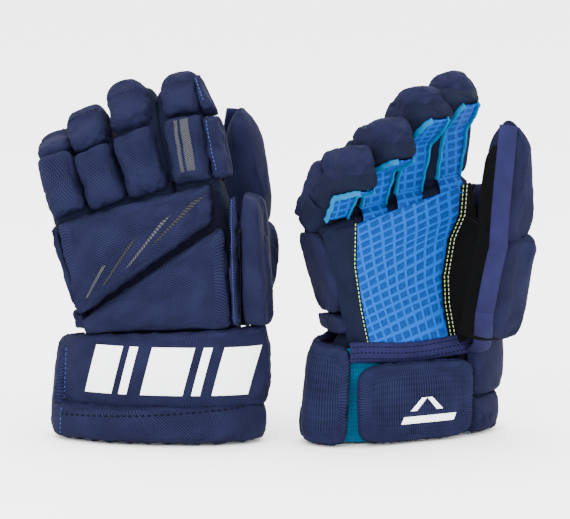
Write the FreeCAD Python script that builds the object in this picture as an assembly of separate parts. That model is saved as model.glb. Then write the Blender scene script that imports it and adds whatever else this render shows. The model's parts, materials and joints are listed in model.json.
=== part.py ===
"""A pair of junior ice hockey gloves standing upright on their cuffs.

One glove is built as a left glove in its own frame: +X towards the thumb, +Y towards the
palm side, +Z up, with the cuff's bottom edge at z = 0.  The right glove is the same design
mirrored in Y.  Each finger is built straight up from its knuckle hinge and then curled.
"""
import FreeCAD, Part
import math
import os

from FreeCAD import Placement, Rotation, Vector

GAP = 0.4  # clearance between neighbouring pieces
FABRIC = 1.2  # wall of a fabric sleeve

# The hand leans towards the little finger, from a point on the wrist hinge line.
HAND_LEAN = 15
HAND_HEIGHT = 80
KNUCKLE_LINE = 91  # distance from the wrist point to the knuckle hinges, along the hand
WEB = 88  # top of the hand liner, along the hand

# Depths, from the back of the glove (-) to the palm side (+)
LINER_BACK = -15
LINER_PALM = 15
PAD_BACK = -31
PAD_FRONT = -17.2
KNUCKLE_DEPTH = 8
PALM_BOTTOM = 67

# Cuff: an oval shell open on the palm side, where the wrist flap hangs
CUFF_CENTRE = (4, -3)
CUFF_RADII = (77, 33)
CUFF_PAD = 11
CUFF_ROLL_CENTRE = (-2, -3)
CUFF_ROLL_GROWTH = 4
CUFF_TOPS = (72, 81)  # at the little finger's side and at the thumb's side
CUFF_SEAM = 26
LINING_TOP = 70
FLAP_EDGES = (-49, 44)
FLAP_HINGE = Vector(0, 21, 57.5)
FLAP_THICK = 10

# Each finger: place across the hand, lean away from the thumb, width, segment lengths,
# natural curl of its two joints, and how far each joint can straighten from it (degrees)
FINGERS = {
    "index": dict(across=55.5, lean=12, width=26, base=39, tip=30, curl=(12, 22), straighten=(6, 8)),
    "middle": dict(across=22.3, lean=18, width=28, base=38, tip=36, curl=(12, 24), straighten=(6, 8)),
    "ring": dict(across=-6.5, lean=22.5, width=27, base=30, tip=33, curl=(16, 30), straighten=(6, 10)),
    "pinky": dict(across=-36, lean=20, width=24.5, base=23, tip=29, curl=(18, 60), straighten=(6, 20)),
}
FINGER_DEPTH = 22  # the sleeve, from the palm side back to the pads
FINGER_PAD = 10.5
SIDE_WALL = 3
TIP_CAP = 5  # foam beyond the end of a sleeve
SIDE_ROLL = dict(gap=0.6, width=9, start=-29, end=-9)

THUMB = dict(width=32, base=72, tip=72, curl=(0, 16), straighten=(0, 14))
THUMB_DEPTH = 21
THUMB_PAD = 12
THUMB_STAY = 1.5  # the plastic stay between the thumb's sleeve and its pads
THUMB_SIDE = 3.5
THUMB_ORIGIN = Vector(36, 40, 75)
THUMB_LEAN = 5  # away from the fingers
THUMB_FORWARD = 9  # towards the palm side
THUMB_TURN = 75  # how far its palm side faces across the palm

# How the two gloves stand: turn about the vertical, place, how far each finger strays
# towards the thumb, how much further its two joints are curled, and how far the fingers'
# bending is turned towards the thumb
GLOVES = {
    "left": dict(
        mirrored=False,
        turn=-9,
        place=(-85, 0),
        stray=dict(index=0, middle=0, ring=0, pinky=0),
        closed=dict(index=(0, 0), middle=(0, 0), ring=(0, 0), pinky=(0, 0)),
        twist=0,
    ),
    "right": dict(
        mirrored=True,
        turn=26,
        place=(88, 0),
        stray=dict(index=10, middle=18.5, ring=21, pinky=18),
        closed=dict(index=(4, 6), middle=(5, 10), ring=(9, 14), pinky=(18, -20)),
        twist=-10,
    ),
}


def arc_corner(before, corner, after, radius):
    """The two tangent points and the middle of the arc that rounds one corner."""
    to_before = (before - corner).normalize()
    to_after = (after - corner).normalize()
    half = to_before.getAngle(to_after) / 2
    reach = radius / math.tan(half)
    middle = (to_before + to_after).normalize()
    start = corner + to_before * reach
    end = corner + to_after * reach
    bulge = corner + middle * (radius / math.sin(half) - radius)
    return start, bulge, end


def rounded_face(points, radius):
    """A flat face through the points, its corners rounded by one radius or one each."""
    count = len(points)
    radii = radius if isinstance(radius, list) else [radius] * count
    corners = [
        arc_corner(points[i - 1], points[i], points[(i + 1) % count], radii[i])
        for i in range(count)
    ]
    edges = []
    for i, (start, bulge, end) in enumerate(corners):
        edges.append(Part.Arc(start, bulge, end).toShape())
        following = corners[(i + 1) % count][0]
        if end.distanceToPoint(following) > 1e-4:
            edges.append(Part.makeLine(end, following))
    return Part.Face(Part.Wire(edges))


def upright_slab(outline, back, front, radius):
    """A slab standing across the hand: an outline of (x, z) points, thick from back to front."""
    points = [Vector(x, back, z) for x, z in outline]
    return rounded_face(points, radius).extrude(Vector(0, front - back, 0))


def column(left, right, back, front, bottom, top, radius):
    """An upright bar with rounded corners in plan."""
    points = [
        Vector(left, back, bottom),
        Vector(right, back, bottom),
        Vector(right, front, bottom),
        Vector(left, front, bottom),
    ]
    return rounded_face(points, radius).extrude(Vector(0, 0, top - bottom))


def box(left, right, back, front, bottom, top):
    corner = Vector(left, back, bottom)
    return Part.makeBox(right - left, front - back, top - bottom, corner)


def soften(solid, radius, chosen):
    """Round the edges whose every vertex is in the chosen region."""
    edges = [e for e in solid.Edges if all(chosen(v.Point) for v in e.Vertexes)]
    return solid.makeFillet(radius, edges)


def soften_back(solid, radius):
    """Round a pad's edges on the side facing away from the hand."""
    outer = solid.BoundBox.YMin + 0.01
    return soften(solid, radius, lambda point: point.y < outer)


def on_hand(across, along, depth=0):
    """A point given across and along the leaning hand, in the glove's frame."""
    lean = math.radians(HAND_LEAN)
    x = across * math.cos(lean) - along * math.sin(lean)
    z = HAND_HEIGHT + across * math.sin(lean) + along * math.cos(lean)
    return Vector(x, depth, z)


def hand_xz(across, along):
    point = on_hand(across, along)
    return point.x, point.z


def inset(outline, amount):
    """The outline moved inwards by the same amount all along."""
    points = [Vector(x, 0, z) for x, z in outline]
    face = Part.Face(Part.makePolygon(points + points[:1]))
    wire = face.makeOffset2D(-amount)
    return [(v.Point.x, v.Point.z) for v in wire.OuterWire.OrderedVertexes]


# ---- fingers and thumb, built straight: X across, Y towards the palm side, Z along ----

def bent(height, angle):
    """The placement of a segment hinged at this height and curled towards the palm side."""
    return Placement(Vector(0, 0, height), Rotation(Vector(-1, 0, 0), angle))


def slanted(height, angle, above):
    """The space above or below a plane that tilts down towards the back of a digit."""
    block = box(-60, 60, -90, 60, 0, 90) if above else box(-60, 60, -90, 60, -90, 0)
    block.Placement = bent(height, angle)
    return block


def channel(width, wall, depth, pad, sides_end, bottom, top):
    """A pad that wraps the back and both sides of a sleeve."""
    outer = column(-width / 2, width / 2, -depth - pad, sides_end, bottom, top, 2)
    inner_half = width / 2 - wall
    hollow = box(-inner_half, inner_half, -depth - GAP, sides_end + 1, bottom - 1, top + 1)
    return outer.cut(hollow)


def base_roll(digit, wall, depth, pad, sides_end):
    """The pad of the first segment. Its ends slant, to close most of the gap at the joints."""
    bottom = digit["straighten"][0] - digit["curl"][0]
    top = (digit["curl"][1] - digit["straighten"][1]) / 2
    roll = channel(digit["width"], wall, depth, pad, sides_end, -30, digit["base"] + 30)
    roll = roll.cut(slanted(1, bottom, above=False))
    return roll.cut(slanted(digit["base"] - 0.7, top, above=True))


def tip_roll(digit, wall, depth, pad, sides_end):
    """The pad of the last segment, closed over the fingertip, measured from its hinge."""
    top = digit["tip"]
    width = digit["width"]
    outer = column(-width / 2, width / 2, -depth - pad, sides_end, -30, top, 2)
    back = -depth - pad + 0.01
    outer = soften(outer, pad * 0.8, lambda p: p.z > top - 0.01 and p.y < back + 2.1)
    inner_half = width / 2 - wall
    hollow = box(-inner_half, inner_half, -depth - GAP, sides_end + 1, -31, top - TIP_CAP)
    slant = (digit["straighten"][1] - digit["curl"][1]) / 2
    return outer.cut(hollow).cut(slanted(0.7, slant, above=False))


def sleeve_run(half_width, back, front, length, bend, base):
    """A sleeve's solid run through the base segment, round the bend and into the tip."""
    lower = box(-half_width, half_width, back, front, 1, base)
    upper = box(-half_width, half_width, back, front, 0, length)
    upper.Placement = bent(base, bend)
    end_points = [
        Vector(-half_width, back, base),
        Vector(half_width, back, base),
        Vector(half_width, front, base),
        Vector(-half_width, front, base),
    ]
    end = Part.Face(Part.makePolygon(end_points + end_points[:1]))
    elbow = end.revolve(Vector(0, 0, base), Vector(-1, 0, 0), bend)
    return lower.fuse([elbow, upper]).removeSplitter()


def sleeve(digit, wall, depth, bend):
    """A closed-ended fabric sleeve, open at the hand, bent at the digit's middle joint."""
    half_width = digit["width"] / 2 - wall - GAP
    length = digit["tip"] - TIP_CAP - GAP
    base = digit["base"]
    outer = sleeve_run(half_width, -depth, -0.02, length, bend, base)
    inner = sleeve_run(
        half_width - FABRIC, -depth + FABRIC, -FABRIC, length - FABRIC, bend, base
    )
    mouth = box(
        -half_width + FABRIC, half_width - FABRIC, -depth + FABRIC, -FABRIC, 0, 2
    )
    return outer.cut(inner.fuse(mouth))


def side_roll(bottom, top, width):
    """The index finger's extra roll, along the side that faces the thumb."""
    left = width / 2 + SIDE_ROLL["gap"]
    right = left + SIDE_ROLL["width"]
    return column(left, right, SIDE_ROLL["start"], SIDE_ROLL["end"], bottom, top, 3)


def finger_frame(glove, name):
    """Where a finger's knuckle hinge stands, before it curls."""
    finger = FINGERS[name]
    origin = on_hand(finger["across"], KNUCKLE_LINE, KNUCKLE_DEPTH)
    lean = Rotation(Vector(0, 1, 0), glove["stray"][name] - finger["lean"])
    twist = Rotation(Vector(0, 0, 1), glove["twist"])
    return Placement(origin, lean * twist)


def resting_curl(glove, name):
    """How far a finger's knuckle and middle joint are curled as the glove stands."""
    natural, closed = FINGERS[name]["curl"], glove["closed"][name]
    return natural[0] + closed[0], natural[1] + closed[1]


def thumb_frame():
    """Where the thumb stands: +Y of its frame is the side that faces across the palm."""
    lean = Rotation(Vector(0, 1, 0), THUMB_LEAN)
    forward = Rotation(Vector(1, 0, 0), -THUMB_FORWARD)
    turn = Rotation(Vector(0, 0, 1), THUMB_TURN)
    return Placement(THUMB_ORIGIN, lean * forward * turn)


def finger_pieces(glove, name):
    """The two rolls and the sleeve of one finger, curled and in place."""
    finger = FINGERS[name]
    knuckle_curl, middle_curl = resting_curl(glove, name)
    sides_end = -7
    base = [base_roll(finger, SIDE_WALL, FINGER_DEPTH, FINGER_PAD, sides_end)]
    tip = [tip_roll(finger, SIDE_WALL, FINGER_DEPTH, FINGER_PAD, sides_end)]
    if name == "index":
        base.append(side_roll(6, finger["base"] - 3, finger["width"]))
        tip.append(side_roll(3, finger["tip"] - 6, finger["width"]))
    knuckle = finger_frame(glove, name) * bent(0, knuckle_curl)
    middle = knuckle * bent(finger["base"], middle_curl)
    stall = sleeve(finger, SIDE_WALL, FINGER_DEPTH, middle_curl)
    return {
        name + "_base_roll": placed(base, knuckle),
        name + "_tip_roll": placed(tip, middle),
        name + "_stall": placed([stall], knuckle),
    }


def thumb_opening():
    """The way from the hand into the thumb, cut through everything between them."""
    return box(44, 55, 5, 34, 100, 138)


def thumb_pieces():
    """The thumb's lower and upper pads, its sleeve and the plastic stay behind it."""
    sides_end = -11
    depth = THUMB_DEPTH + THUMB_STAY + 0.7
    lower = base_roll(THUMB, THUMB_SIDE, depth, THUMB_PAD, sides_end)
    slim = dict(THUMB, width=THUMB["width"] - 3)
    upper = tip_roll(slim, THUMB_SIDE - 1.5, depth, THUMB_PAD - 3, sides_end)
    back = -THUMB_DEPTH - GAP
    insert = box(-8, 8, back - THUMB_STAY, back, 4, THUMB["tip"] - 8)
    frame = thumb_frame()
    upper_frame = frame * bent(THUMB["base"], THUMB["curl"][1])
    stall = placed([sleeve(THUMB, THUMB_SIDE, THUMB_DEPTH, THUMB["curl"][1])], frame)
    return {
        "thumb_lower_pad": placed([lower], frame),
        "thumb_upper_pad": placed([upper], upper_frame),
        "thumb_insert": placed([insert], upper_frame),
        "thumb_stall": [s.cut(thumb_opening()) for s in stall],
    }


def placed(solids, placement):
    out = []
    for solid in solids:
        moved = solid.copy()
        moved.Placement = placement * solid.Placement
        out.append(moved)
    return out


# ---- the hand ----

def liner_outline():
    """The hand sleeve's outline: from the wrist up to the line of knuckles."""
    return [(-42, 79), (57, 79), (57, 148), hand_xz(71, WEB), hand_xz(-48, WEB)]


def hand_liner():
    """The sleeve that the hand goes into, with a way through to each finger and the thumb."""
    outline = liner_outline()
    outer = upright_slab(outline, LINER_BACK, LINER_PALM, 2)
    hollow = upright_slab(
        inset(outline, FABRIC), LINER_BACK + FABRIC, LINER_PALM - FABRIC, 1
    )
    mouth = box(-40, 55, LINER_BACK + FABRIC, LINER_PALM - FABRIC, 75, 84)
    solid = outer.cut(hollow.fuse(mouth))
    for finger in FINGERS.values():
        half = finger["width"] / 2 - SIDE_WALL - 2
        hole = box(-half, half, -11, 5, -8, 5)
        hole.Placement = Placement(
            on_hand(finger["across"], WEB), Rotation(Vector(0, 1, 0), -HAND_LEAN)
        )
        solid = solid.cut(hole)
    return solid.cut(thumb_opening())


def backhand_upper_pad():
    outline = [hand_xz(-45, 90), hand_xz(66, 90), (43, 161), (-50, 89)]
    return soften_back(upright_slab(outline, PAD_BACK, PAD_FRONT, 4), 4)


def backhand_lower_pad():
    outline = [(50, 156), (56, 84), (-46, 76), (-47, 86)]
    return soften_back(upright_slab(outline, PAD_BACK, PAD_FRONT, 3), 4)


def backhand_insert():
    """The thin plastic shield between the pads and the hand."""
    outline = [(-41, 88), (48, 92), hand_xz(60, 86), hand_xz(-42, 86)]
    return upright_slab(outline, PAD_FRONT + 0.3, LINER_BACK - 0.3, 5)


def side_pads():
    """The pads along both edges of the hand."""
    strip = upright_slab(
        [(58, 89), (62, 89), (58, 172), (53, 173)], PAD_BACK + 5, PAD_FRONT, 1.5
    )
    index_side = upright_slab([(63, 86), (82, 86), (82, 152), (76, 172), (60, 178)], -28, 12, 4)
    index_side = soften_back(index_side, 3.5)
    pinky_side = upright_slab([(-58, 92), (-48, 92), (-69, 148), (-77, 148)], -16.8, 10, 2)
    block = upright_slab([(-56, 79), (-43.2, 79), (-47.5, 91), (-58, 91)], -16.8, 10, 2)
    return [strip, index_side, pinky_side, block]


def palm_layer(outline, radius=2):
    return upright_slab(outline, LINER_PALM + 0.3, LINER_PALM + 2.3, radius)


def palm():
    bottom = [(-34, PALM_BOTTOM), (31, PALM_BOTTOM)]
    sides = [(24, 122), hand_xz(60, 86), hand_xz(-24, 86), (-46, 128)]
    return palm_layer(bottom + sides)


def palm_gusset():
    bottom = [(-44, PALM_BOTTOM), (-34.5, PALM_BOTTOM)]
    sides = [(-46.5, 128), hand_xz(-24.5, 86), hand_xz(-46, 86)]
    return palm_layer(bottom + sides, 1)


def palm_patch():
    bottom = [(31.5, PALM_BOTTOM), (41, PALM_BOTTOM), (47, PALM_BOTTOM + 12)]
    sides = [(56, PALM_BOTTOM + 12), (56, 148), hand_xz(68, 86), hand_xz(60.5, 86), (24.5, 122)]
    return palm_layer(bottom + sides, 1).cut(thumb_opening())


def wrist_tape():
    """The stitched binding along the bottom edge of the palm."""
    return upright_slab([(-50, 58), (44.5, 59), (44.5, 73), (-50, 72)], 17.7, 20.5, 1)


def wrist_flap():
    """The padded flap that hangs from the wrist tape and closes the cuff."""
    left, right = FLAP_EDGES
    front = FLAP_HINGE.y
    top = FLAP_HINGE.z - 0.5
    outline = [(left, top), (right, top), (right, 1), (left, 1)]
    return upright_slab(outline, front, front + FLAP_THICK, [1, 1, 16, 16])


# ---- the cuff ----

def oval_shell(centre, grow, thick, bottom, top):
    """An upright oval tube round the wrist."""
    across, deep = CUFF_RADII
    middle = Vector(centre[0], centre[1], bottom)

    def oval(shrink):
        edge = Part.Ellipse(middle, across + grow - shrink, deep + grow - shrink).toShape()
        return Part.Face(Part.Wire([edge])).extrude(Vector(0, 0, top - bottom))

    return oval(0).cut(oval(thick))


def roll_shell():
    """The wider oval of the cuff's bottom roll, thick enough to reach the lining."""
    inside = oval_shell(CUFF_CENTRE, 20, 20 + CUFF_PAD, 0, CUFF_SEAM)
    outside = oval_shell(CUFF_ROLL_CENTRE, 40, 40 - CUFF_ROLL_GROWTH, 0, CUFF_SEAM)
    return inside.cut(outside)


def cuff_panel():
    """The panel across the back of the wrist, its top edge rising towards the thumb."""
    low, high = CUFF_TOPS
    shell = oval_shell(CUFF_CENTRE, 0, CUFF_PAD, CUFF_SEAM + 1, high + 5)
    points = [Vector(x, -80, z) for x, z in [(-80, 0), (80, 0), (80, high), (-80, low)]]
    face = Part.Face(Part.makePolygon(points + points[:1]))
    return shell.common(face.extrude(Vector(0, 80 + CUFF_CENTRE[1] - 2, 0)))


def cuff_roll():
    return roll_shell().common(box(-120, 120, -80, CUFF_CENTRE[1] - 2, 0, 90))


def cuff_side_pads():
    """The wraps that close the cuff round to the palm side, left and right of the flap."""
    upper = oval_shell(CUFF_CENTRE, 0, CUFF_PAD, CUFF_SEAM, 66)
    shell = roll_shell().fuse(upper)
    pinky_wrap = box(-120, FLAP_EDGES[0] - 6, CUFF_CENTRE[1] - 1.5, 80, 0, 90)
    thumb_wrap = box(FLAP_EDGES[1] + 2, 120, CUFF_CENTRE[1] - 1.5, 80, 0, 90)
    return [shell.common(pinky_wrap), shell.common(thumb_wrap)]


def cuff_liner():
    """The cuff's lining, open behind the flap."""
    shell = oval_shell(CUFF_CENTRE, -CUFF_PAD - GAP, 1.5, 2, LINING_TOP)
    behind_flap = box(FLAP_EDGES[0] - 5, FLAP_EDGES[1] + 1, 0, 80, 0, 90)
    return shell.cut(behind_flap)


def glove_pieces(glove):
    """Every node of one left-hand glove, as a list of separate solids."""
    pieces = {
        "backhand_upper_pad": [backhand_upper_pad()],
        "backhand_lower_pad": [backhand_lower_pad()],
        "backhand_insert": [backhand_insert()],
        "side_pads": side_pads(),
        "hand_liner": [hand_liner()],
        "palm": [palm()],
        "palm_patch": [palm_patch()],
        "palm_gusset": [palm_gusset()],
        "wrist_tape": [wrist_tape()],
        "wrist_flap": [wrist_flap()],
        "cuff_panel": [cuff_panel()],
        "cuff_roll": [cuff_roll()],
        "cuff_side_pads": cuff_side_pads(),
        "cuff_liner": [cuff_liner()],
    }
    for name in FINGERS:
        pieces.update(finger_pieces(glove, name))
    pieces.update(thumb_pieces())
    return pieces


def stand(shape, glove):
    """Mirror, turn and move a piece to where its glove stands."""
    if glove["mirrored"]:
        shape = shape.mirror(Vector(0, 0, 0), Vector(0, 1, 0))
    x, y = glove["place"]
    shape = shape.copy()
    shape.rotate(Vector(0, 0, 0), Vector(0, 0, 1), glove["turn"])
    shape.translate(Vector(x, y, 0))
    return shape


def build_pair():
    """Both gloves' nodes, with the origin under the middle of the pair."""
    pair = {}
    for side, glove in GLOVES.items():
        for name, solids in glove_pieces(glove).items():
            pair[side + "_" + name] = [stand(s, glove) for s in solids]
    bounds = Part.makeCompound([s for solids in pair.values() for s in solids]).BoundBox
    middle = Vector(-bounds.Center.x, -bounds.Center.y, -bounds.ZMin)
    for solids in pair.values():
        for solid in solids:
            solid.translate(middle)
    return pair, middle


def export(pair):
    os.makedirs("parts", exist_ok=True)
    for name, solids in pair.items():
        shape = solids[0] if len(solids) == 1 else Part.makeCompound(solids)
        shape.exportStep("parts/" + name + ".step")


pair, middle = build_pair()
export(pair)
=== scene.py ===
"""A pair of ice hockey gloves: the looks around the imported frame.

The left glove shows its back and the right glove its palm.  Every piece is made in a glove's
own axes (x across towards the thumb, y towards the palm side, z up, in millimetres), which
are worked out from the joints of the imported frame.
"""

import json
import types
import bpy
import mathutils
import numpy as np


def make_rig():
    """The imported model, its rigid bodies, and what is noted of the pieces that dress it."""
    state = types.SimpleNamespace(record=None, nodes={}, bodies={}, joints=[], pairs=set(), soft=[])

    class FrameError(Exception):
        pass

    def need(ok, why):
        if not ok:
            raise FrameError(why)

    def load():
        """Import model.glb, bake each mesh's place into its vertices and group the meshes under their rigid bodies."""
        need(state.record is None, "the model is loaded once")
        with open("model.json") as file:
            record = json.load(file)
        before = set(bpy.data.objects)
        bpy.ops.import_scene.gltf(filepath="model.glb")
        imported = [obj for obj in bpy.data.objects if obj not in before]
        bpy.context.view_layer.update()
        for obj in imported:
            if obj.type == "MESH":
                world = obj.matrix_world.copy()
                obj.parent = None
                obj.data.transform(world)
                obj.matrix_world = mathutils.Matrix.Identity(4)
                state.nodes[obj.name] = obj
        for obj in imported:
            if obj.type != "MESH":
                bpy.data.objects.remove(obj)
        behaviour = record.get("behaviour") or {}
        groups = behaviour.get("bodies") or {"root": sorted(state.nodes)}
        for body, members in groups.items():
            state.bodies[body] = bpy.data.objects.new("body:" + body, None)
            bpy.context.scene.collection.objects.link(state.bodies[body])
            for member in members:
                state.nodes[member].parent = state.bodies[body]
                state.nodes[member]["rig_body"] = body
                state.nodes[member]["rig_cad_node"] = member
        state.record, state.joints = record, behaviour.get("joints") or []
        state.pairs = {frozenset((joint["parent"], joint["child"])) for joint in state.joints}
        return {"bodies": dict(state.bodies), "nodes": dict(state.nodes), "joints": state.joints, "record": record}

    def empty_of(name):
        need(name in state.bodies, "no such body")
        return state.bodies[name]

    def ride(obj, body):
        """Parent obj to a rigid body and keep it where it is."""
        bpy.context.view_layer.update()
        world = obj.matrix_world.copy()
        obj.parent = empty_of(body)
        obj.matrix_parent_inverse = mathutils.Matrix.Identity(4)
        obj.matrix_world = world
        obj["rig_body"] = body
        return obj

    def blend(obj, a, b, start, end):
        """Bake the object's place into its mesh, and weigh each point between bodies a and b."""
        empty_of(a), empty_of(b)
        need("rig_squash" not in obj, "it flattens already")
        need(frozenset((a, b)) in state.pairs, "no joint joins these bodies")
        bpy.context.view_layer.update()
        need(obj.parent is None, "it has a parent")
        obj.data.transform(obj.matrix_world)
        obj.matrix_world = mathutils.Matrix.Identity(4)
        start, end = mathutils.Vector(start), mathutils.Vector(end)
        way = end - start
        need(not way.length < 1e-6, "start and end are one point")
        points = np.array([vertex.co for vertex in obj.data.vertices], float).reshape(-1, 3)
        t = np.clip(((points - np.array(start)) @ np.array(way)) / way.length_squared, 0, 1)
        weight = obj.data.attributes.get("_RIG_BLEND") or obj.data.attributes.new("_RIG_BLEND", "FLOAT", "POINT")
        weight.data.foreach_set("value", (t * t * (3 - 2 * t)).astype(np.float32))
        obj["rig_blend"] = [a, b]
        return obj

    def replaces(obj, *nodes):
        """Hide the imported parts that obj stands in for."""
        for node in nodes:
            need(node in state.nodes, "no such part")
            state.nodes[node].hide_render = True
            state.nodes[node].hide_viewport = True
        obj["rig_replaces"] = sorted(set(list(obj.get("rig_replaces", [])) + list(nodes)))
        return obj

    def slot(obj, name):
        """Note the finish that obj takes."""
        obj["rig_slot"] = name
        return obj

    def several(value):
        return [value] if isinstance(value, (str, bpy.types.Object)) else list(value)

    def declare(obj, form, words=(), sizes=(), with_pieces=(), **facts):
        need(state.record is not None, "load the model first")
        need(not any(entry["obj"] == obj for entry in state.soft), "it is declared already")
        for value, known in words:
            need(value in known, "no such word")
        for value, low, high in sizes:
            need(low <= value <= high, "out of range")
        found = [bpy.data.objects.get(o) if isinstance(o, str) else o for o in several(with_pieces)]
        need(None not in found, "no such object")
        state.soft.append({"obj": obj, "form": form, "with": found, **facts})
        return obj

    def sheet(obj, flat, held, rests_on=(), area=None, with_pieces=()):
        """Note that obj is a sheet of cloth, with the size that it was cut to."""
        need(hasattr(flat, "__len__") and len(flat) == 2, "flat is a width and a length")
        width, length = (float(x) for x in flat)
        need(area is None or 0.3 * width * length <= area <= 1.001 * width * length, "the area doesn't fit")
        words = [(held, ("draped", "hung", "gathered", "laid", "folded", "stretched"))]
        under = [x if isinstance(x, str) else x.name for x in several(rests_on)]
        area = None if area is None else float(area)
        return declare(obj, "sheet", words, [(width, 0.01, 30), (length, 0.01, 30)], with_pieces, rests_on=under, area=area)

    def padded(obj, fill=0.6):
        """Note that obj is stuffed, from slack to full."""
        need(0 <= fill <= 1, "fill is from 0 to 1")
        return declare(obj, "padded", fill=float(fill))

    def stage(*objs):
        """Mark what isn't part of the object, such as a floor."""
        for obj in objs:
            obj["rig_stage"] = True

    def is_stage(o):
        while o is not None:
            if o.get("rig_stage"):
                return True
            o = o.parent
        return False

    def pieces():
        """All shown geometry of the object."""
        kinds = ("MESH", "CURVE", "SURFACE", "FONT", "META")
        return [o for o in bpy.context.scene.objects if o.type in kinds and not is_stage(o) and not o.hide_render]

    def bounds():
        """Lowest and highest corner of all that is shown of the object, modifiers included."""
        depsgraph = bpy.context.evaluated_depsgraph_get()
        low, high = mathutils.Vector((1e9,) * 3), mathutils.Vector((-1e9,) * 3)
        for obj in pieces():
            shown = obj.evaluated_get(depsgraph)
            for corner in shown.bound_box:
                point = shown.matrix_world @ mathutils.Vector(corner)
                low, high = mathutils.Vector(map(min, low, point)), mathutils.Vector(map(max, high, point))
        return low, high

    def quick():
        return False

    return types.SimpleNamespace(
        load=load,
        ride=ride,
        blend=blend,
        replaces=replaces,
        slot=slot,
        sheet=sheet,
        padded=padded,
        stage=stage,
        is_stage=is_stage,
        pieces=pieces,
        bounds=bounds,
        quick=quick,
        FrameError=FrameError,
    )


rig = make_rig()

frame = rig.load()

import json
import math

import bmesh
import bpy
from mathutils import Matrix, Vector
from mathutils.bvhtree import BVHTree
from mathutils.noise import noise

cad_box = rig.bounds()

MM = 0.001
HANDED = {"left": 1, "right": -1}
HAND_LEAN = math.radians(15)  # towards the little finger
HAND_HEIGHT = 80  # of the point that the hand leans about
WEB = 88  # how far up the leaning hand its sleeve ends
CUFF_HINGE = (0, -30, 75)

# Fingers: width of the pads, length of the last segment, how far the knuckle and the middle
# joint are curled on each glove as it stands (degrees), and how far the sleeve is drawn out
# towards the little finger (minus) and the thumb
FINGERS = {
    "index": dict(width=27.5, tip=32, left=(12, 22), right=(16, 28), drawn=(-7, 0)),
    "middle": dict(width=30, tip=38, left=(12, 24), right=(17, 34), drawn=(0, 4)),
    "ring": dict(width=28.5, tip=35, left=(16, 30), right=(25, 44), drawn=(0, 1)),
    "pinky": dict(width=26, tip=31, left=(18, 60), right=(36, 40), drawn=(0, 1)),
}
# Depths of a finger, from its joints: the back and front of its pads, the back of its sleeve
FINGER_BACK = -33
FINGER_FRONT = -6
FINGER_SLEEVE = -21

# Thumb: from its palm side back to its base hinge, the lengths of its two segments, and the
# bend between them (degrees)
THUMB_CORNER = 35.2
THUMB_BASE = 72
THUMB_TIP = 72
THUMB_CURL = 16

# Cuff: the middle and radii of its oval and of the roll round its bottom, how thick its pads
# are, and how high they start (the stuffing swells them down to the floor)
CUFF_CENTRE = (4, -3)
CUFF_RADII = (77, 33)
CUFF_PAD = 11
ROLL_CENTRE = (-2, -3)
ROLL_RADII = (81, 37)
ON_FLOOR = (1.3, 1.3)
# Flap: its two sides and the height that it hangs from
FLAP_SPAN = (-49, 44)
FLAP_TOP = 58


class Place:
    """Axes on a glove: x across towards the thumb, y towards the palm side, z along."""

    def __init__(self, origin, x, y, z):
        self.origin = Vector(origin)
        self.axes = (Vector(x), Vector(y), Vector(z))

    def point(self, x, y, z):
        right, palm, along = self.axes
        return self.origin + (right * x + palm * y + along * z) * MM

    def local(self, spot):
        return tuple((spot - self.origin).dot(axis) / MM for axis in self.axes)


class Digit:
    """A finger or thumb: its base and tip places, and the turn of the bend between them."""

    def __init__(self, base, axis, length, curl):
        self.base = base
        self.axis = axis
        self.length = length
        self.curl = curl
        self.tip = curled(base, length, axis, curl)

    def across(self, distance):
        """The place across the digit at a distance along it, with a smooth bend."""
        share = smooth((distance - self.length + 8) / 16)
        place = curled(self.base, self.length, self.axis, self.curl * share)
        place.origin = place.point(0, 0, distance - self.length)
        return place

    def round_bend(self, depth):
        """The points at a depth where a cloth over the bend starts and ends to bend."""
        return self.base.point(0, depth, self.length - 10), self.tip.point(0, depth, 10)


def smooth(t):
    t = min(1.0, max(0.0, t))
    return t * t * (3 - 2 * t)


def between(start, end, share):
    return start + (end - start) * share


def mixed(first, second, share):
    """A point of any number of measures, at a share of the way from one to another."""
    return tuple(between(a, b, share) for a, b in zip(first, second))


def along_line(points, share):
    """A point at a share of the way along a line of points, each span counting the same."""
    place = min(max(share, 0.0), 0.9999) * (len(points) - 1)
    first = int(place)
    return mixed(points[first], points[first + 1], place - first)


def bezier(start, leave, arrive, end, share):
    """A point on the cubic curve from start to end, through its two handles' pull."""
    first, second, third = (
        a.lerp(b, share) for a, b in ((start, leave), (leave, arrive), (arrive, end))
    )
    return first.lerp(second, share).lerp(second.lerp(third, share), share)


def joint(name):
    return next(j for j in frame["joints"] if j["name"] == name)


def glove_place(side):
    wrist = joint(side + "_wrist_joint")
    up = Vector((0, 0, 1))
    across = Vector(wrist["axis"]) * HANDED[side]
    palm = up.cross(across) * HANDED[side]
    place = Place(wrist["pos_m"], across, palm, up)
    place.origin = place.point(*[-v for v in CUFF_HINGE])
    return place


def curled(place, distance, axis, angle):
    """The place of the next segment: further along and curled towards the palm side."""
    turn = Matrix.Rotation(math.radians(angle), 3, axis)
    x, y, z = place.axes
    return Place(place.point(0, 0, distance), x, turn @ y, turn @ z)


def finger_digit(side, name):
    knuckle = joint(f"{side}_{name}_knuckle")
    middle = joint(f"{side}_{name}_middle_joint")
    origin, bend = Vector(knuckle["pos_m"]), Vector(middle["pos_m"])
    axis = Vector(knuckle["axis"])
    along = (bend - origin).normalized()
    across = -axis * HANDED[side]
    palm = along.cross(across) * HANDED[side]
    base = Place(origin, across, palm, along)
    return Digit(base, axis, (bend - origin).length / MM, FINGERS[name][side][1])


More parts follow.
